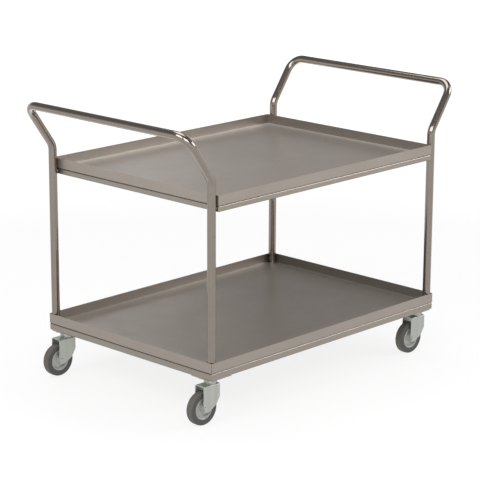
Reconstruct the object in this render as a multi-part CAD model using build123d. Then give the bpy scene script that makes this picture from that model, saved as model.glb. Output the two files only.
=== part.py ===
from build123d import *
import os

# Two-deck platform trolley.  Origin on the ground under the middle of the deck,
# +X along the deck, +Y across it, +Z up.  Left is -X, right is +X, front is -Y, back is +Y.
# All lengths are in millimetres.

# ---------------------------------------------------------------- driving dimensions: decks
DECK_LENGTH = 1000
DECK_WIDTH = 700
PAN_SHEET = 1.5
PAN_HEIGHT = 31
PAN_BEND = 1.5                  # inside radius of the fold between floor and rim
SEAM_WIDTH = 1.2                # where two rim walls meet at a corner
LOWER_SEAM_DEPTH = 3.0          # from the corner inwards: right through, with a post behind it
UPPER_SEAM_DEPTH = 1.5          # a groove: the weld closes the rest
SEAM_NOTCH = 2.2                # side of the square bar that makes the V at the seam's top

CASTER_HEIGHT = 135             # ground to the caster's mounting plane
CORNER_PLATE = 85
CORNER_PLATE_THICKNESS = 3
CORNER_PLATE_INSET = 4          # from the deck's edges
KINGPIN_CLEAR_RADIUS = 11       # hole in the corner plate round the kingpin's head
LOWER_RAIL_HEIGHT = 21
UPPER_RAIL_HEIGHT = 17
UPPER_RAIL_BOTTOM = 628
RAIL_DEPTH = 25
RAIL_SHEET = 2
RAIL_BEND = 3.5                 # outside radius of the rails' folds

HAT_CROWN, HAT_BRIM, HAT_DEPTH, HAT_SHEET = 50, 15, 14, 1.5
HAT_END_GAP = 1                 # between a stiffener's end and the rail
HAT_X = DECK_LENGTH / 6         # two stiffeners under each deck

# ---------------------------------------------------------------- driving dimensions: end frames
TUBE_RADIUS = 12.5
TUBE_WALL = 1.5
POST_CLEARANCE = 0.1            # between a post and the rim it stands in
UPPER_DECK_GAP = 1              # between a post and the end of the upper deck
LEAN_START = 717                # height where the posts lean outwards
BAR_HEIGHT = 855
BAR_REACH = 97                  # how far the push bar stands outside the posts
LEAN_BEND = 42                  # centreline radii of the tube's bends
BAR_BEND = 44
PLUG_FLANGE = 1.5
PLUG_INSET = 1.5                # the plug's flange is this much smaller than the tube
PLUG_LENGTH = 18
RIVET_NUT_RADIUS, RIVET_NUT_LENGTH, RIVET_NUT_FLANGE = 4.5, 9, 6.5
FOOT_WASHER_RADIUS, FOOT_WASHER_THICKNESS = 8, 1.6

# ---------------------------------------------------------------- driving dimensions: casters
CASTER_INSET_X = 34             # kingpin from the deck's end
CASTER_INSET_Y = 38             # kingpin from the deck's side
SWIVEL_REST = -2                # degrees by which the casters stand off the deck's length
CASTER_PLATE = 52
CASTER_PLATE_THICKNESS = 2.5
CASTER_PLATE_CORNER = 5
BOLT_SPACING = 38
TRAIL = 35
WHEEL_RADIUS = 50
TYRE_WIDTH = 25
TYRE_SHOULDER = 5
TREAD_CROWN = 0.5
TYRE_CHAMFER = 1.5              # where the tyre's side meets the hub

KINGPIN_RADIUS = 5
KINGPIN_HEAD_RADIUS = 9
KINGPIN_TOP_HEAD, KINGPIN_LOW_HEAD = 2, 4
UPPER_RACE_BOTTOM = -6.2        # heights in a caster are below its mounting plane
LOWER_RACE_TOP = -9.6
SKIRT_BOTTOM = -12
SKIRT_RADIUS = 19.5
SKIRT_SHEET = 1.2
RACE_INSIDE = 8
RACE_OUTSIDE = 17.5
BALL_RADIUS = 2
BALL_CIRCLE = 13.5
BALL_COUNT = 18

FORK_SHEET = 2.5
FORK_WIDTH = 38
FORK_BEND = 4                   # outside radius between the crown and the legs
FORK_TOP = -17
FORK_FRONT = 19.5
FORK_BACK_TOP = -42             # the legs' rear edge leans back
FORK_BACK_LOW = -46.5
FORK_KNEES = [(FORK_FRONT, -56), (4.5, -80)]    # where the legs' front edge turns, in X and Z
FORK_LOBE = 11.5                # round the axle
FORK_FRONT_BEND = 14            # radius of the front edge's turns

SLEEVE_RADIUS = 6
AXLE_HEAD_RADIUS, AXLE_HEAD_HEIGHT = 7, 2.4
AXLE_LENGTH = 47
AXLE_COLLAR_RADIUS, AXLE_COLLAR = 5.6, 2        # the lock nut's nylon collar
HUB_RADIUS = 32
HUB_BOSS = 11
HUB_RIM_INSIDE = 28
HUB_SIDE_GAP = 0.5              # between the hub's boss and the fork's leg
HUB_RIB = 2                     # locks the tyre on the hub
HUB_RIB_WIDTH = 8
HUB_WEB = 6
HUB_RIM_INSET = 1.5             # the rim stands this far inside the tyre's side
HUB_DRAFT = 1.5                 # slope of the boss and the rim's inside
HUB_LIP = 1                     # chamfer round the rim's inside

# ---------------------------------------------------------------- driving dimensions: screws
M6, M8 = 3.0, 4.0               # thread radii
HOLE_M6, HOLE_M8 = 3.3, 4.5     # clearance hole radii
M6_FLATS, M6_HEAD, M6_NUT = 10, 4, 5
M8_FLATS, M8_HEAD, M8_NUT = 13, 5.3, 6
CASTER_BOLT_FLATS, CASTER_BOLT_HEAD, CASTER_BOLT_LENGTH = 10, 3, 16
THREAD_CLEARANCE = 0.1          # radial, between a screw and its thread or hole
RUNNING_CLEARANCE = 0.05        # radial, at every bearing
PAST = 1                        # how far a cutting shape reaches past what it cuts

# ---------------------------------------------------------------- worked out from those
LOWER_RAIL_BOTTOM = CASTER_HEIGHT + CORNER_PLATE_THICKNESS
LOWER_PAN_BOTTOM = LOWER_RAIL_BOTTOM + LOWER_RAIL_HEIGHT
UPPER_PAN_BOTTOM = UPPER_RAIL_BOTTOM + UPPER_RAIL_HEIGHT
LOWER_FLOOR = LOWER_PAN_BOTTOM + PAN_SHEET
POST_X = DECK_LENGTH / 2 - PAN_SHEET - POST_CLEARANCE - TUBE_RADIUS
POST_Y = DECK_WIDTH / 2 - PAN_SHEET - POST_CLEARANCE - TUBE_RADIUS
UPPER_LENGTH = 2 * (POST_X - TUBE_RADIUS - UPPER_DECK_GAP)
KINGPIN_X = DECK_LENGTH / 2 - CASTER_INSET_X
KINGPIN_Y = DECK_WIDTH / 2 - CASTER_INSET_Y
AXLE_Z = WHEEL_RADIUS - CASTER_HEIGHT
FORK_INSIDE = FORK_WIDTH - 2 * FORK_SHEET
BALL_Z = (UPPER_RACE_BOTTOM + LOWER_RACE_TOP) / 2
SCREW_HEIGHT = UPPER_RAIL_BOTTOM + UPPER_RAIL_HEIGHT / 2
CORNERS = {"front_left": (-1, -1), "front_right": (1, -1), "back_left": (-1, 1), "back_right": (1, 1)}


# ---------------------------------------------------------------- general helpers
def save(name, *solids):
    """Write one node; several solids make a group of separate pieces."""
    shape = solids[0] if len(solids) == 1 else Compound(children=list(solids))
    export_step(shape, f"parts/{name}.step")


def rod(radius, z_low, z_high):
    return Pos(0, 0, (z_low + z_high) / 2) * Cylinder(radius, z_high - z_low)


def hexagon(across_flats, z_low, z_high):
    outline = RegularPolygon(across_flats / 2, 6, major_radius=False)
    return Pos(0, 0, z_low) * extrude(outline, z_high - z_low)


def hex_screw(radius, length, across_flats, head):
    """Screw along Z with its head below z = 0 and its shank above."""
    return hexagon(across_flats, -head, 0) + rod(radius - THREAD_CLEARANCE, 0, length)


def ring(radius_in, radius_out, z_low, z_high):
    return rod(radius_out, z_low, z_high) - rod(radius_in, z_low - PAST, z_high + PAST)


def at_corners(x, y, z=0):
    """The four places at plus and minus x and y."""
    return [Pos(sx * x, sy * y, z) for sx, sy in CORNERS.values()]


def cut_holes(shape, radius, places, depth):
    for place in places:
        shape -= place * Cylinder(radius, depth)
    return shape


# ---------------------------------------------------------------- sheet-metal pans
def pan(length, bottom, seam_depth):
    """Folded pan with a rim; at each corner a seam runs up to a V notch."""
    outside = Pos(0, 0, bottom + PAN_HEIGHT / 2) * Box(length, DECK_WIDTH, PAN_HEIGHT)
    outside = fillet(outside.edges().group_by(Axis.Z)[0], PAN_BEND + PAN_SHEET)
    inside = Pos(0, 0, bottom + PAN_SHEET + PAN_HEIGHT / 2) * Box(
        length - 2 * PAN_SHEET, DECK_WIDTH - 2 * PAN_SHEET, PAN_HEIGHT)
    inside = fillet(inside.edges().group_by(Axis.Z)[0], PAN_BEND)
    shell = outside - inside
    seam_bottom = bottom + PAN_SHEET + PAN_BEND
    for sx, sy in CORNERS.values():
        diagonal = Pos(sx * length / 2, sy * DECK_WIDTH / 2, 0) * Rot(0, 0, 45 * sx * sy)
        seam = Pos(0, 0, seam_bottom + PAN_HEIGHT / 2) * Box(2 * seam_depth, SEAM_WIDTH, PAN_HEIGHT)
        notch = Pos(0, 0, bottom + PAN_HEIGHT) * Rot(45, 0, 0) * Box(2 * seam_depth, SEAM_NOTCH, SEAM_NOTCH)
        shell -= diagonal * seam
        shell -= diagonal * notch
    return shell


# ---------------------------------------------------------------- deck frames
def rail_ring(length, bottom, height):
    """Closed ring of C-section, open towards the middle of the deck."""
    middle = Pos(0, 0, bottom + height / 2)
    outside = fillet(Box(length, DECK_WIDTH, height).edges(), RAIL_BEND)
    cavity = Box(length - 2 * RAIL_SHEET, DECK_WIDTH - 2 * RAIL_SHEET, height - 2 * RAIL_SHEET)
    cavity = fillet(cavity.edges(), RAIL_BEND - RAIL_SHEET)
    opening = Box(length - 2 * RAIL_DEPTH, DECK_WIDTH - 2 * RAIL_DEPTH, height + 2 * PAST)
    return middle * (outside - cavity - opening)


def mitred_rails(ring_shape, length, bottom, height):
    """The ring cut at its corners into its four rails."""
    inner = RAIL_DEPTH + PAST
    x_out, y_out = length / 2 + PAST, DECK_WIDTH / 2 + PAST
    x_in, y_in = length / 2 - inner, DECK_WIDTH / 2 - inner
    outlines = {}
    for name, side in (("front", -1), ("back", 1)):
        y_far, y_near = side * y_out, side * y_in
        outlines[name] = [(-x_out, y_far), (x_out, y_far), (x_in, y_near), (-x_in, y_near)]
    for name, side in (("left", -1), ("right", 1)):
        x_far, x_near = side * x_out, side * x_in
        outlines[name] = [(x_far, -y_out), (x_far, y_out), (x_near, y_in), (x_near, -y_in)]
    rails = {}
    for name, outline in outlines.items():
        wedge = extrude(Polygon(*outline, align=None), height + 2 * PAST, dir=(0, 0, 1))
        rails[name] = ring_shape & Pos(0, 0, bottom - PAST) * wedge
    return rails


def hat_stiffener(pan_bottom):
    """Hat section across the deck, its brims against the pan's underside."""
    length = DECK_WIDTH - 2 * RAIL_DEPTH - 2 * HAT_END_GAP
    hat = Box(HAT_CROWN, length, HAT_DEPTH)
    hat -= Pos(0, 0, HAT_SHEET) * Box(HAT_CROWN - 2 * HAT_SHEET, length + 2 * PAST, HAT_DEPTH)
    for side in (-1, 1):
        brim = Pos(side * (HAT_CROWN + HAT_BRIM) / 2, 0, (HAT_DEPTH - HAT_SHEET) / 2)
        hat += brim * Box(HAT_BRIM, length, HAT_SHEET)
    return Pos(0, 0, pan_bottom - HAT_DEPTH / 2) * hat


def corner_plates():
    """Welded under the lower frame; each carries one caster."""
    inset = CORNER_PLATE_INSET + CORNER_PLATE / 2
    through = 4 * CORNER_PLATE_THICKNESS
    outline = Box(CORNER_PLATE, CORNER_PLATE, CORNER_PLATE_THICKNESS)
    outline = fillet(outline.edges().filter_by(Axis.Z), 2 * CORNER_PLATE_THICKNESS)
    plates = []
    for sx, sy in CORNERS.values():
        centre = Pos(sx * (DECK_LENGTH / 2 - inset), sy * (DECK_WIDTH / 2 - inset),
                     LOWER_RAIL_BOTTOM - CORNER_PLATE_THICKNESS / 2)
        kingpin = Pos(sx * KINGPIN_X, sy * KINGPIN_Y, LOWER_RAIL_BOTTOM)
        plate = cut_holes(centre * outline, KINGPIN_CLEAR_RADIUS, [kingpin], through)
        plates.append(cut_holes(plate, HOLE_M6, caster_bolt_places(sx, sy), through))
    return plates


def caster_bolt_places(sx, sy):
    half = BOLT_SPACING / 2
    return [Pos(sx * KINGPIN_X + dx, sy * KINGPIN_Y + dy, LOWER_RAIL_BOTTOM)
            for dx in (-half, half) for dy in (-half, half)]


# ---------------------------------------------------------------- end frames
def handle_tube(side):
    """One tube: post, leaning leg, push bar, leaning leg, post."""
    foot = LOWER_FLOOR + PLUG_FLANGE
    x_post, x_bar = side * POST_X, side * (POST_X + BAR_REACH)
    route = [(x_post, -POST_Y, foot), (x_post, -POST_Y, LEAN_START), (x_bar, -POST_Y, BAR_HEIGHT),
             (x_bar, POST_Y, BAR_HEIGHT), (x_post, POST_Y, LEAN_START), (x_post, POST_Y, foot)]
    path = FilletPolyline(*route, radius=[LEAN_BEND, BAR_BEND, BAR_BEND, LEAN_BEND])
    start = Plane(origin=route[0], z_dir=(0, 0, 1))
    outside = sweep(start * Circle(TUBE_RADIUS), path=path)
    inside = sweep(start * Circle(TUBE_RADIUS - TUBE_WALL), path=path)
    tube = outside - inside
    for end in (-1, 1):
        hole = Pos(side * (POST_X - TUBE_RADIUS), end * POST_Y, SCREW_HEIGHT) * Rot(0, 90, 0)
        tube -= hole * Cylinder(RIVET_NUT_RADIUS + THREAD_CLEARANCE, 2 * TUBE_RADIUS - 2 * TUBE_WALL)
    return tube


def foot_plug():
    """Closes a post's end and takes the foot bolt; z = 0 is the pan's floor."""
    flange = rod(TUBE_RADIUS - PLUG_INSET, 0, PLUG_FLANGE)
    shank = rod(TUBE_RADIUS - TUBE_WALL - THREAD_CLEARANCE, PLUG_FLANGE, PLUG_FLANGE + PLUG_LENGTH)
    return flange + shank - rod(M8, -PAST, PLUG_FLANGE + PLUG_LENGTH + PAST)


def rivet_nut():
    """Along X from the post's surface at x = 0 into the post, its flange outside it."""
    body = rod(RIVET_NUT_RADIUS, 0, RIVET_NUT_LENGTH) + rod(RIVET_NUT_FLANGE, -UPPER_DECK_GAP, 0)
    return Rot(0, 90, 0) * (body - rod(M6, -UPPER_DECK_GAP - PAST, RIVET_NUT_LENGTH + PAST))


def upper_deck_fixings():
    """The four rivet nuts, and the four screws from inside the upper frame's end rails."""
    nuts, screws = [], []
    flats_level = Rot(0, 90, 0) * Rot(0, 0, 30)
    screw = flats_level * hex_screw(M6, RAIL_SHEET + RIVET_NUT_LENGTH, M6_FLATS, M6_HEAD)
    for sx, sy in CORNERS.values():
        turn = Rot(0, 0, 0 if sx > 0 else 180)
        nuts.append(Pos(sx * (POST_X - TUBE_RADIUS), sy * POST_Y, SCREW_HEIGHT) * turn * rivet_nut())
        screws.append(Pos(sx * (UPPER_LENGTH / 2 - RAIL_SHEET), sy * POST_Y, SCREW_HEIGHT) * turn * screw)
    return nuts, screws


def foot_fixings():
    """Washer and bolt under each post, inside the lower frame."""
    seat = LOWER_PAN_BOTTOM - RAIL_SHEET
    washer = ring(HOLE_M8, FOOT_WASHER_RADIUS, -FOOT_WASHER_THICKNESS, 0)
    length = FOOT_WASHER_THICKNESS + RAIL_SHEET + PAN_SHEET + PLUG_FLANGE + PLUG_LENGTH
    bolt = Pos(0, 0, -FOOT_WASHER_THICKNESS) * hex_screw(M8, length, M8_FLATS, M8_HEAD)
    places = at_corners(POST_X, POST_Y, seat)
    return [place * washer for place in places], [place * bolt for place in places]


# ---------------------------------------------------------------- casters
# A caster is built with its kingpin on the Z axis, its mounting plane at z = 0,
# and its wheel trailing towards -X.


def ball_groove():
    section = Plane.XZ * Pos(BALL_CIRCLE, BALL_Z) * Circle(BALL_RADIUS + RUNNING_CLEARANCE)
    return revolve(section, Axis.Z)


def caster_plate():
    """Square top plate with the upper race and its dust skirt."""
    plate = Pos(0, 0, -CASTER_PLATE_THICKNESS / 2) * Box(CASTER_PLATE, CASTER_PLATE, CASTER_PLATE_THICKNESS)
    plate = fillet(plate.edges().filter_by(Axis.Z), CASTER_PLATE_CORNER)
    half = BOLT_SPACING / 2
    holes = [Pos(x, y, 0) for x in (-half, half) for y in (-half, half)]
    plate = cut_holes(plate, HOLE_M6, holes, 4 * CASTER_PLATE_THICKNESS)
    race = ring(RACE_INSIDE, SKIRT_RADIUS, UPPER_RACE_BOTTOM, -CASTER_PLATE_THICKNESS)
    skirt = ring(SKIRT_RADIUS - SKIRT_SHEET, SKIRT_RADIUS, SKIRT_BOTTOM, -CASTER_PLATE_THICKNESS)
    body = plate + race + skirt - ball_groove()
    return body - rod(KINGPIN_RADIUS, UPPER_RACE_BOTTOM, PAST)


def kingpin():
    """Rivet: upper head on the plate, lower head under the fork's crown."""
    shank_bottom = FORK_TOP - FORK_SHEET - THREAD_CLEARANCE
    lower_head = rod(KINGPIN_HEAD_RADIUS, shank_bottom - KINGPIN_LOW_HEAD, shank_bottom)
    lower_head = fillet(lower_head.edges().group_by(Axis.Z)[0], KINGPIN_LOW_HEAD / 2)
    upper_head = rod(KINGPIN_HEAD_RADIUS, 0, KINGPIN_TOP_HEAD)
    upper_head = fillet(upper_head.edges().group_by(Axis.Z)[-1], KINGPIN_TOP_HEAD / 2)
    return upper_head + rod(KINGPIN_RADIUS, shank_bottom, 0) + lower_head


def balls():
    step = 360 / BALL_COUNT
    return [Rot(0, 0, step * n) * Pos(BALL_CIRCLE, 0, BALL_Z) * Sphere(BALL_RADIUS)
            for n in range(BALL_COUNT)]


def fork_side_outline():
    """Leg seen from the side, in X and Z, its lowest lobe round the axle."""
    axle_bottom = AXLE_Z - FORK_LOBE
    lobe_front = -TRAIL + FORK_LOBE
    corners = [(FORK_BACK_TOP, FORK_TOP + PAST), (FORK_FRONT, FORK_TOP + PAST), *FORK_KNEES,
               (lobe_front, axle_bottom), (FORK_BACK_LOW, axle_bottom)]
    outline = Polygon(*corners, align=None)
    low = outline.vertices().filter_by(lambda v: v.Y < FORK_TOP)
    back_corner = low.sort_by(Axis.X)[0]
    outline = fillet(low.filter_by(lambda v: v != back_corner), FORK_FRONT_BEND)
    back_corner = outline.vertices().sort_by(Axis.Y)[:2].sort_by(Axis.X)[0]
    return fillet(back_corner, FORK_LOBE)


def fork():
    """Sheet folded into a crown and two legs, with the lower race on the crown."""
    depth = FORK_TOP - AXLE_Z + 2 * FORK_LOBE
    length = FORK_FRONT - FORK_BACK_LOW
    middle_x = (FORK_FRONT + FORK_BACK_LOW) / 2
    outside = Pos(middle_x, 0, FORK_TOP - depth / 2) * Box(length, FORK_WIDTH, depth)
    outside = fillet(outside.edges().filter_by(Axis.X).group_by(Axis.Z)[-1], FORK_BEND)
    inside = Pos(middle_x, 0, FORK_TOP - FORK_SHEET - depth / 2) * Box(length + 2 * PAST, FORK_INSIDE, depth)
    inside = fillet(inside.edges().filter_by(Axis.X).group_by(Axis.Z)[-1], FORK_BEND - FORK_SHEET)
    side = extrude(Plane.XZ * fork_side_outline(), FORK_WIDTH, both=True)
    body = (outside - inside) & side
    body += ring(RACE_INSIDE, RACE_OUTSIDE, FORK_TOP, LOWER_RACE_TOP) - ball_groove()
    body -= rod(KINGPIN_RADIUS + RUNNING_CLEARANCE, FORK_TOP - FORK_SHEET - PAST, FORK_TOP + PAST)
    return body - axle_line() * Cylinder(M8 + THREAD_CLEARANCE, 2 * FORK_WIDTH)


def axle_line():
    """Turns a piece built along Z so that it lies along the axle."""
    return Pos(-TRAIL, 0, AXLE_Z) * Rot(-90, 0, 0)


def axle_bolt():
    """Low round head against one leg, its shank through the sleeve and the other leg."""
    head = rod(AXLE_HEAD_RADIUS, -AXLE_HEAD_HEIGHT, 0)
    head = fillet(head.edges().group_by(Axis.Z)[0], AXLE_HEAD_HEIGHT / 2)
    return axle_line() * Pos(0, 0, -FORK_WIDTH / 2) * (head + rod(M8 - THREAD_CLEARANCE, 0, AXLE_LENGTH))


def axle_nut():
    low = FORK_WIDTH / 2
    high = low + M8_NUT + AXLE_COLLAR
    body = hexagon(M8_FLATS, low, low + M8_NUT) + rod(AXLE_COLLAR_RADIUS, low + M8_NUT, high)
    return axle_line() * (body - rod(M8, low - PAST, high + PAST))


def axle_sleeve():
    return axle_line() * ring(M8 + THREAD_CLEARANCE, SLEEVE_RADIUS, -FORK_INSIDE / 2, FORK_INSIDE / 2)


def turned(outline):
    """Solid of revolution about the axle from (radius, along the axle) points."""
    section = Plane.XZ * Polygon(*outline, align=None)
    return axle_line() * revolve(section, Axis.Z)


def mirrored(points):
    """Outline points followed by their mirror image across the wheel's middle plane."""
    return points + [(radius, -along) for radius, along in reversed(points)]


def hub():
    """Dished centre: boss, web and rim with a rib that locks the tyre."""
    bore = SLEEVE_RADIUS + RUNNING_CLEARANCE
    boss_half = FORK_INSIDE / 2 - HUB_SIDE_GAP
    web_half = HUB_WEB / 2
    rim_half = TYRE_WIDTH / 2 - HUB_RIM_INSET
    boss = [(bore, boss_half), (HUB_BOSS, boss_half), (HUB_BOSS + HUB_DRAFT, web_half + HUB_DRAFT)]
    dish = [(HUB_RIM_INSIDE - 2 * HUB_DRAFT, web_half), (HUB_RIM_INSIDE, rim_half - HUB_LIP)]
    rim = [(HUB_RIM_INSIDE + HUB_LIP, rim_half), (HUB_RADIUS, rim_half), (HUB_RADIUS, HUB_RIB_WIDTH / 2),
           (HUB_RADIUS + HUB_RIB, HUB_RIB_WIDTH / 2)]
    return turned(mirrored(boss + dish + rim))


def tyre():
    """Solid tyre with round shoulders and a slightly crowned tread."""
    half_width = TYRE_WIDTH / 2
    shoulder_z = half_width - TYRE_SHOULDER
    tread_edge = WHEEL_RADIUS - TREAD_CROWN
    side_top = WHEEL_RADIUS - TYRE_SHOULDER
    rib_half = HUB_RIB_WIDTH / 2
    front = Polyline((HUB_RADIUS, rib_half), (HUB_RADIUS, half_width - TYRE_CHAMFER),
                     (HUB_RADIUS + TYRE_CHAMFER, half_width), (side_top, half_width))
    front_shoulder = TangentArc((side_top, half_width), (tread_edge, shoulder_z), tangent=(1, 0))
    tread = ThreePointArc((tread_edge, shoulder_z), (WHEEL_RADIUS, 0), (tread_edge, -shoulder_z))
    back_shoulder = TangentArc((side_top, -half_width), (tread_edge, -shoulder_z), tangent=(1, 0))
    back = Polyline((side_top, -half_width), (HUB_RADIUS + TYRE_CHAMFER, -half_width),
                    (HUB_RADIUS, TYRE_CHAMFER - half_width), (HUB_RADIUS, -rib_half),
                    (HUB_RADIUS + HUB_RIB, -rib_half), (HUB_RADIUS + HUB_RIB, rib_half), (HUB_RADIUS, rib_half))
    section = Plane.XZ * make_face([front, front_shoulder, tread, back_shoulder, back])
    return axle_line() * revolve(section, Axis.Z)


def caster_bolts_and_nuts():
    """Bolts from below; the nuts stand on the rail's flange, or on the corner plate inside it."""
    bolts, nuts = [], []
    head_seat = CASTER_HEIGHT - CASTER_PLATE_THICKNESS
    bolt = hex_screw(M6, CASTER_BOLT_LENGTH, CASTER_BOLT_FLATS, CASTER_BOLT_HEAD)
    nut = hexagon(M6_FLATS, 0, M6_NUT) - rod(M6, -PAST, M6_NUT + PAST)
    for sx, sy in CORNERS.values():
        for place in caster_bolt_places(sx, sy):
            x, y = place.position.X, place.position.Y
            over_rail = abs(x) > DECK_LENGTH / 2 - RAIL_DEPTH or abs(y) > DECK_WIDTH / 2 - RAIL_DEPTH
            bolts.append(Pos(x, y, head_seat) * bolt)
            nuts.append(Pos(x, y, LOWER_RAIL_BOTTOM + (RAIL_SHEET if over_rail else 0)) * nut)
    return bolts, nuts


# ---------------------------------------------------------------- assembly
def save_decks():
    foot_places = at_corners(POST_X, POST_Y, LOWER_PAN_BOTTOM)
    lower_pan = pan(DECK_LENGTH, LOWER_PAN_BOTTOM, LOWER_SEAM_DEPTH)
    save("lower_tray", cut_holes(lower_pan, HOLE_M8, foot_places, 4 * PAN_SHEET))
    save("upper_tray", pan(UPPER_LENGTH, UPPER_PAN_BOTTOM, UPPER_SEAM_DEPTH))

    lower = rail_ring(DECK_LENGTH, LOWER_RAIL_BOTTOM, LOWER_RAIL_HEIGHT)
    lower = cut_holes(lower, HOLE_M8, foot_places, 3 * RAIL_SHEET)
    for sx, sy in CORNERS.values():
        lower = cut_holes(lower, HOLE_M6, caster_bolt_places(sx, sy), 3 * RAIL_SHEET)
    for name, rail in mitred_rails(lower, DECK_LENGTH, LOWER_RAIL_BOTTOM, LOWER_RAIL_HEIGHT).items():
        save(f"lower_rail_{name}", rail)

    upper = rail_ring(UPPER_LENGTH, UPPER_RAIL_BOTTOM, UPPER_RAIL_HEIGHT)
    for place in at_corners(UPPER_LENGTH / 2, POST_Y, SCREW_HEIGHT):
        upper -= place * Rot(0, 90, 0) * Cylinder(HOLE_M6, 3 * RAIL_SHEET)
    for name, rail in mitred_rails(upper, UPPER_LENGTH, UPPER_RAIL_BOTTOM, UPPER_RAIL_HEIGHT).items():
        save(f"upper_rail_{name}", rail)

    for level, pan_bottom in (("lower", LOWER_PAN_BOTTOM), ("upper", UPPER_PAN_BOTTOM)):
        for name, x in (("left", -HAT_X), ("right", HAT_X)):
            save(f"{level}_stiffener_{name}", Pos(x, 0, 0) * hat_stiffener(pan_bottom))
    save("corner_plates", *corner_plates())


def save_end_frames():
    save("left_handle_frame", handle_tube(-1))
    save("right_handle_frame", handle_tube(1))
    save("foot_plugs", *[place * foot_plug() for place in at_corners(POST_X, POST_Y, LOWER_FLOOR)])
    washers, bolts = foot_fixings()
    save("foot_washers", *washers)
    save("foot_bolts", *bolts)
    nuts, screws = upper_deck_fixings()
    save("rivet_nuts", *nuts)
    save("upper_frame_screws", *screws)


def save_casters():
    mounting = {name: Pos(sx * KINGPIN_X, sy * KINGPIN_Y, CASTER_HEIGHT) for name, (sx, sy) in CORNERS.items()}
    save("kingpins", *[place * kingpin() for place in mounting.values()])
    bolts, nuts = caster_bolts_and_nuts()
    save("caster_bolts", *bolts)
    save("caster_nuts", *nuts)
    single = {"fork": fork(), "axle_bolt": axle_bolt(), "axle_nut": axle_nut(),
              "axle_sleeve": axle_sleeve(), "hub": hub(), "tyre": tyre()}
    for corner, place in mounting.items():
        swivelled = place * Rot(0, 0, SWIVEL_REST)
        save(f"{corner}_caster_plate", place * caster_plate())
        save(f"{corner}_balls", *[swivelled * ball for ball in balls()])
        for name, shape in single.items():
            save(f"{corner}_{name}", swivelled * shape)


os.makedirs("parts", exist_ok=True)
save_decks()
save_end_frames()
save_casters()
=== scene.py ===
import math

import bpy
from mathutils import Matrix, Vector

# Looks of a two-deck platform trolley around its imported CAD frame.
# Lengths are in metres, in the frame's own axes: +X along the deck, +Y across it, +Z up.
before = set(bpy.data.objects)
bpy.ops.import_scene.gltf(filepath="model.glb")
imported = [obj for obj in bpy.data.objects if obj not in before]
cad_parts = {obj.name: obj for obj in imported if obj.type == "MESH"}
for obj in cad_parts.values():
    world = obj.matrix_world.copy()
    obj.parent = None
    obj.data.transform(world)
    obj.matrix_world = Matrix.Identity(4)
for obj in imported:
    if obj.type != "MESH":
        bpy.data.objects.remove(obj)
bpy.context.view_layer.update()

# ---------------------------------------------------------------- camera
CAMERA_PLACE = (-4.201, -4.019, 1.9436)
CAMERA_HEADING = 46.118         # degrees from +Y towards +X
CAMERA_PITCH = -14.928
CAMERA_ROLL = 0.239
CAMERA_LENS = 145.55            # millimetres
SENSOR_WIDTH = 36

# ---------------------------------------------------------------- light
AIM = (0, 0, 0.45)              # what the softboxes point at

# name: (azimuth from +X in degrees, elevation, distance, (width, height), radiance)
SOFTBOXES = {
    "left_softbox": (186, 36, 3.8, (2.0, 1.6), 5.5),
    "front_softbox": (230, 30, 3.8, (2.1, 1.6), 4.7),
    "right_softbox": (318, 27, 3.8, (2.3, 1.3), 5.9),
    "back_softbox": (74, 17, 3.8, (3.6, 0.9), 0.9),
    "top_softbox": (60, 80, 3.2, (2.4, 2.4), 3.2),
}

# (sine of the elevation, radiance)
DOME = ((0.0, 0.84), (0.2, 0.62), (0.32, 0.33), (1.0, 0.25))

FLOOR_SIZE = 60
FLOOR_GREY = 0.12
FLOOR_GLOW = (0.83, 1.15)       # radiance near the trolley and far from it
FLOOR_SPREAD = (1.8, 6.0)       # the distances those two hold at

# ---------------------------------------------------------------- finishes, linear red, green and blue
SHEET_TONES = ((0.303, 0.264, 0.232), (0.338, 0.297, 0.262))
# painted light beside the tray sheet's folds, and painted shade on the inner faces of its walls
SHEET_PAINTED_FOLD_LIGHT = (0.78, 0.74, 0.68)
SHEET_PAINTED_WALL_SHADE = (0.265, 0.238, 0.212)
FRAME_TONES = ((0.295, 0.263, 0.232), (0.325, 0.292, 0.258))
TUBE_TONES = ((0.252, 0.220, 0.189), (0.268, 0.235, 0.202))
# painted reflection of the floor's glare on the tubes' downward faces
TUBE_PAINTED_FLOOR_GLARE = (0.64, 0.58, 0.52)
FORK_TONES = ((0.365, 0.376, 0.346), (0.445, 0.456, 0.42))
FORK_MOTTLE = (0.52, 0.54, 0.52)
ZINC_TONES = ((0.62, 0.63, 0.61), (0.74, 0.75, 0.73))
ZINC_SPANGLE = (0.5, 0.52, 0.53)
BEARING_TONE = (0.6, 0.6, 0.6)
HUB_TONES = ((0.35, 0.355, 0.335), (0.40, 0.405, 0.38))
TREAD_TONES = ((0.086, 0.079, 0.070), (0.108, 0.100, 0.090))
TYRE_SIDE_TONES = ((0.052, 0.051, 0.047), (0.066, 0.065, 0.060))
TYRE_SPECK = (0.15, 0.142, 0.13)

COARSE_RELIEF = 0.0002          # depths of the bump textures
FINE_RELIEF = 0.0001
PAINTED_FOLD_REACH = 0.09               # how far from the wall at a fold the painted light and painted shade can reach
DECK_HEIGHTS = (0.3, 0.6)       # the lower deck is below the first, the upper one above the second; between them the painted fold light grows from about half to full


# ---------------------------------------------------------------- camera and light
def add_camera():
    heading, pitch, roll = (math.radians(a) for a in (CAMERA_HEADING, CAMERA_PITCH, CAMERA_ROLL))
    forward = Vector((math.sin(heading) * math.cos(pitch),
                      math.cos(heading) * math.cos(pitch),
                      math.sin(pitch)))
    level_right = Vector((math.cos(heading), -math.sin(heading), 0))
    level_up = level_right.cross(forward)
    right = math.cos(roll) * level_right + math.sin(roll) * level_up
    up = math.cos(roll) * level_up - math.sin(roll) * level_right
    camera = bpy.data.objects.new("camera", bpy.data.cameras.new("camera"))
    camera.data.sensor_width = SENSOR_WIDTH
    camera.data.lens = CAMERA_LENS
    turn = Matrix((right, up, -forward)).transposed().to_4x4()
    camera.matrix_world = Matrix.Translation(CAMERA_PLACE) @ turn
    bpy.context.scene.collection.objects.link(camera)
    bpy.context.scene.camera = camera


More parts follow.
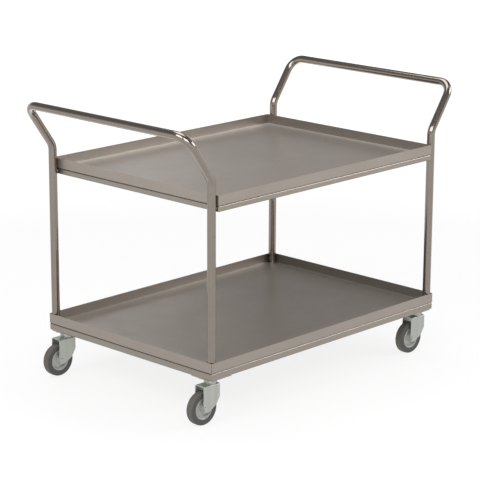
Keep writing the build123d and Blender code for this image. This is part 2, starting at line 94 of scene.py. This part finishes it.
def add_softbox(name, azimuth, elevation, distance, size, radiance):
    turn, rise = math.radians(azimuth), math.radians(elevation)
    towards = Vector((math.cos(turn) * math.cos(rise), math.sin(turn) * math.cos(rise), math.sin(rise)))
    light = bpy.data.lights.new(name, "AREA")
    light.shape = "RECTANGLE"
    light.size, light.size_y = size
    light.energy = radiance * math.pi * size[0] * size[1]
    lamp = bpy.data.objects.new(name, light)
    lamp.location = Vector(AIM) + distance * towards
    lamp.rotation_mode = "QUATERNION"
    lamp.rotation_quaternion = (-towards).to_track_quat("-Z", "Y")
    bpy.context.scene.collection.objects.link(lamp)


def add_world():
    """Soft studio dome: pale at the horizon and dim overhead."""
    world = bpy.data.worlds.new("studio")
    bpy.context.scene.world = world
    world.use_nodes = True
    nodes, links = world.node_tree.nodes, world.node_tree.links
    nodes.clear()
    place = nodes.new("ShaderNodeTexCoord")
    split = nodes.new("ShaderNodeSeparateXYZ")
    links.new(place.outputs["Generated"], split.inputs[0])
    ramp = nodes.new("ShaderNodeValToRGB")
    stops = ramp.color_ramp.elements
    for count, (height, level) in enumerate(DOME):
        stop = stops[count] if count < 2 else stops.new(height)
        stop.position = height
        stop.color = (level, level, level, 1)
    links.new(split.outputs["Z"], ramp.inputs[0])
    background = nodes.new("ShaderNodeBackground")
    links.new(ramp.outputs["Color"], background.inputs["Color"])
    output = nodes.new("ShaderNodeOutputWorld")
    links.new(background.outputs[0], output.inputs["Surface"])


# ---------------------------------------------------------------- material helpers
class Nodes:
    """A material being built: its node tree and its one Principled shader."""

    def __init__(self, name):
        self.material = bpy.data.materials.new(name)
        self.material.use_nodes = True
        tree = self.material.node_tree
        self.nodes, self.links = tree.nodes, tree.links
        self.shader = self.nodes["Principled BSDF"]

    def add(self, kind, inputs=None, **settings):
        node = self.nodes.new(kind)
        for key, value in settings.items():
            setattr(node, key, value)
        for key, value in (inputs or {}).items():
            self.feed(node.inputs[key], value)
        return node

    def feed(self, socket, value):
        """Sockets are linked; plain numbers and colours are set."""
        if isinstance(value, bpy.types.NodeSocket):
            self.links.new(value, socket)
        else:
            socket.default_value = value

    def place(self, scale=(1, 1, 1), rotation=(0, 0, 0)):
        """Object coordinates, which are the frame's own metres, stretched for grain."""
        coordinates = self.add("ShaderNodeTexCoord").outputs["Object"]
        settings = {"Vector": coordinates, "Scale": scale, "Rotation": rotation}
        return self.add("ShaderNodeMapping", settings).outputs["Vector"]

    def axis(self, vector, name):
        return self.add("ShaderNodeSeparateXYZ", {"Vector": vector}).outputs[name]

    def facing(self, name):
        """How far the surface faces along one axis of the object, from -1 to 1."""
        return self.axis(self.add("ShaderNodeTexCoord").outputs["Normal"], name)

    def noise(self, vector, scale, detail=3, roughness=0.55):
        settings = {"Vector": vector, "Scale": scale, "Detail": detail, "Roughness": roughness}
        return self.add("ShaderNodeTexNoise", settings).outputs["Fac"]

    def between(self, value, low, high, start=0.3, end=0.7):
        """value's range from start to end, spread from low to high."""
        settings = {"Value": value, "From Min": start, "From Max": end, "To Min": low, "To Max": high}
        return self.add("ShaderNodeMapRange", settings).outputs["Result"]

    def blend(self, share, one, other):
        mix = self.add("ShaderNodeMix", data_type="RGBA")
        self.feed(mix.inputs["Factor"], share)
        self.feed(mix.inputs[6], one)       # the colour sockets have the same names as the number ones
        self.feed(mix.inputs[7], other)
        return mix.outputs[2]

    def tones(self, value, pair):
        """The two colours of a pair, mixed by a noise value."""
        return self.blend(self.between(value, 0, 1), rgb(*pair[0]), rgb(*pair[1]))

    def calculate(self, operation, one, other=0):
        return self.add("ShaderNodeMath", {0: one, 1: other}, operation=operation).outputs[0]

    def bump(self, height, strength, distance, under=None):
        settings = {"Height": height, "Strength": strength, "Distance": distance}
        node = self.add("ShaderNodeBump", settings)
        if under is not None:
            self.links.new(under, node.inputs["Normal"])
        return node.outputs["Normal"]

    def set(self, colour, roughness, **inputs):
        self.feed(self.shader.inputs["Base Color"], colour)
        self.feed(self.shader.inputs["Roughness"], roughness)
        for key, value in inputs.items():
            self.feed(self.shader.inputs[key.capitalize()], value)
        return self.material


def rgb(red, green, blue):
    return (red, green, blue, 1)


def scaled(tone, gain):
    return rgb(*(gain * part for part in tone))


# ---------------------------------------------------------------- materials
def painted_fold_light_and_shade(m):
    """Shares of painted light on the sheet beside the wall at a fold, and of painted shade on the wall's
    inner face.

    The painted light stands in for light gathered beside a fold, and the painted shade for a wall that
    stands in shade. The lower deck gets about half as much painted light.
    """
    occlusion = m.add("ShaderNodeAmbientOcclusion", {"Distance": PAINTED_FOLD_REACH}, samples=8, only_local=True)
    openness = occlusion.outputs["AO"]
    upward = m.facing("Z")
    level = m.between(upward, 0, 1, start=0.7, end=0.95)
    upright = m.between(upward, 1, 0, start=0.3, end=0.6)
    fold_light_mask = m.between(openness, 1, 0, start=0.5, end=0.98)
    wall_shade_mask = m.between(openness, 1, 0, start=0.75, end=0.95)
    deck_share = m.between(m.axis(m.place(), "Z"), 0.55, 1, *DECK_HEIGHTS)
    painted_light = m.calculate("MULTIPLY", m.calculate("MULTIPLY", level, fold_light_mask), deck_share)
    return painted_light, m.calculate("MULTIPLY", upright, wall_shade_mask)


def brushed_steel(name, grain_scale, tones, satin, scratched, metallic, painted_folds=False):
    """Satin steel: fine brushing along one axis, faint clouds, hairline scratches and handling marks; on
    tray sheet also painted light beside the folds and painted shade on the walls' inner faces.
    """
    m = Nodes(name)
    dark, light = tones
    grain = m.noise(m.place(grain_scale), scale=9, detail=4, roughness=0.7)
    cloud = m.noise(m.place(), scale=3.5)
    smudge = m.noise(m.place(rotation=(0.4, 0.2, 0.9)), scale=17, detail=5, roughness=0.6)
    lines = m.noise(m.place((2, 340, 340), (0, 0, 0.21)), scale=5, detail=2, roughness=0.5)
    scratch = m.between(lines, 0, 1, start=0.70, end=0.74)
    colour = m.tones(cloud, tones)
    colour = m.blend(m.between(grain, 0, 0.16), colour, scaled(dark, 0.8))
    colour = m.blend(m.between(scratch, 0, scratched, start=0, end=1), colour, scaled(light, 1.25))
    # painted light beside the folds and painted shade on the walls' inner faces
    if painted_folds:
        painted_light, painted_shade = painted_fold_light_and_shade(m)
        colour = m.blend(painted_light, colour, rgb(*SHEET_PAINTED_FOLD_LIGHT))
        colour = m.blend(painted_shade, colour, rgb(*SHEET_PAINTED_WALL_SHADE))
    roughness = m.calculate("ADD", m.between(grain, *satin), m.between(smudge, -0.02, 0.03))
    brushing = m.bump(grain, 0.08, COARSE_RELIEF)
    normal = m.bump(scratch, 0.05, FINE_RELIEF, under=brushing)
    return m.set(colour, roughness, metallic=metallic, normal=normal)


def tray_sheet():
    return brushed_steel("satin_steel_sheet", grain_scale=(4, 260, 260), tones=SHEET_TONES,
                         satin=(0.34, 0.42), scratched=0.12, metallic=0.76, painted_folds=True)


def frame_steel():
    return brushed_steel("satin_steel_frame", grain_scale=(40, 40, 260), tones=FRAME_TONES,
                         satin=(0.32, 0.40), scratched=0.10, metallic=1.0)


def polished_tube():
    """Polished grip tube with a faint haze, and a paler painted reflection of the floor's glare on its
    downward faces.
    """
    m = Nodes("polished_tube")
    grain = m.noise(m.place(), scale=12)
    haze = m.noise(m.place(rotation=(0.5, 0.3, 0)), scale=70, detail=4, roughness=0.6)
    # painted reflection: downward faces are paler, standing in for the floor's glare
    painted_glare = m.between(m.facing("Z"), 1, 0, start=-0.85, end=-0.45)
    colour = m.blend(painted_glare, m.tones(haze, TUBE_TONES), rgb(*TUBE_PAINTED_FLOOR_GLARE))
    roughness = m.calculate("ADD", m.between(grain, 0.14, 0.17), m.between(haze, 0, 0.03))
    return m.set(colour, roughness, metallic=1.0)


def zinc_fork():
    """Passivated zinc of the forks, caster plates and axles: faint upright bands and a fine mottle."""
    m = Nodes("zinc_fork")
    band = m.noise(m.place((1, 1, 0.03)), scale=75, detail=2)
    mottle = m.noise(m.place(), scale=320)
    colour = m.blend(m.between(mottle, 0, 0.15), m.tones(band, FORK_TONES), rgb(*FORK_MOTTLE))
    normal = m.bump(mottle, 0.05, COARSE_RELIEF)
    return m.set(colour, m.between(mottle, 0.33, 0.44), metallic=0.75, normal=normal)


def zinc_steel():
    """Bright zinc with a fine spangle, for the frame's fasteners and the casters' mounting bolts."""
    m = Nodes("zinc_steel")
    cloud = m.noise(m.place(), scale=150)
    spangle = m.noise(m.place(), scale=900, detail=2)
    colour = m.blend(m.between(spangle, 0, 0.2), m.tones(cloud, ZINC_TONES), rgb(*ZINC_SPANGLE))
    return m.set(colour, m.between(cloud, 0.25, 0.38), metallic=0.8)


def bearing_steel():
    """Ground steel of the balls and axle sleeves, shiny and faintly uneven."""
    m = Nodes("bearing_steel")
    cloud = m.noise(m.place(), scale=200, detail=2)
    return m.set(rgb(*BEARING_TONE), m.between(cloud, 0.08, 0.16), metallic=1.0)


def hub_plastic():
    """Moulded grey plastic, slightly uneven in tone, with a fine eggshell surface."""
    m = Nodes("hub_plastic")
    cloud = m.noise(m.place(), scale=40)
    eggshell = m.noise(m.place(), scale=1400, detail=2)
    normal = m.bump(eggshell, 0.1, FINE_RELIEF)
    return m.set(m.tones(cloud, HUB_TONES), m.between(cloud, 0.42, 0.52), normal=normal)


def tyre_rubber():
    """Grey rubber with fine specks: darker on the sides and paler on the tread."""
    m = Nodes("tyre_rubber")
    cloud = m.noise(m.place(), scale=50, detail=4)
    speck = m.noise(m.place(), scale=700)
    sideways = m.calculate("ABSOLUTE", m.facing("Y"))
    side = m.between(sideways, 0, 1, start=0.25, end=0.85)
    colour = m.blend(side, m.tones(cloud, TREAD_TONES), m.tones(cloud, TYRE_SIDE_TONES))
    colour = m.blend(m.between(speck, 0, 0.3, start=0.55, end=0.75), colour, rgb(*TYRE_SPECK))
    normal = m.bump(speck, 0.15, COARSE_RELIEF)
    return m.set(colour, m.between(cloud, 0.58, 0.72), normal=normal)


def floor_paint():
    """Pale backdrop that gives off light of its own, the same near the trolley and more far away."""
    m = Nodes("studio_floor")
    away = m.add("ShaderNodeVectorMath", {0: m.place()}, operation="LENGTH").outputs["Value"]
    m.feed(m.shader.inputs["Emission Color"], rgb(1, 1, 1))
    m.feed(m.shader.inputs["Emission Strength"], m.between(away, *FLOOR_GLOW, *FLOOR_SPREAD))
    return m.set(rgb(FLOOR_GREY, FLOOR_GREY, FLOOR_GREY), 0.9)


MATERIALS = {"tray_sheet": tray_sheet, "frame_steel": frame_steel, "polished_tube": polished_tube,
             "zinc_fork": zinc_fork, "zinc_steel": zinc_steel, "bearing_steel": bearing_steel,
             "hub_plastic": hub_plastic, "tyre_rubber": tyre_rubber}


def dress_nodes():
    """Every CAD node arrives with a plain material named after its slot; the finished one takes over."""
    made = {slot: make() for slot, make in MATERIALS.items()}
    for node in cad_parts.values():
        for place in node.material_slots:
            place.material = made[place.material.name]


def add_floor():
    half = FLOOR_SIZE / 2
    corners = [(-half, -half, 0), (half, -half, 0), (half, half, 0), (-half, half, 0)]
    mesh = bpy.data.meshes.new("studio_floor")
    mesh.from_pydata(corners, [], [(0, 1, 2, 3)])
    floor = bpy.data.objects.new("studio_floor", mesh)
    floor.data.materials.append(floor_paint())
    bpy.context.scene.collection.objects.link(floor)


add_camera()
add_world()
for name, setting in SOFTBOXES.items():
    add_softbox(name, *setting)
add_floor()
dress_nodes()
bpy.context.scene.view_settings.view_transform = "Standard"
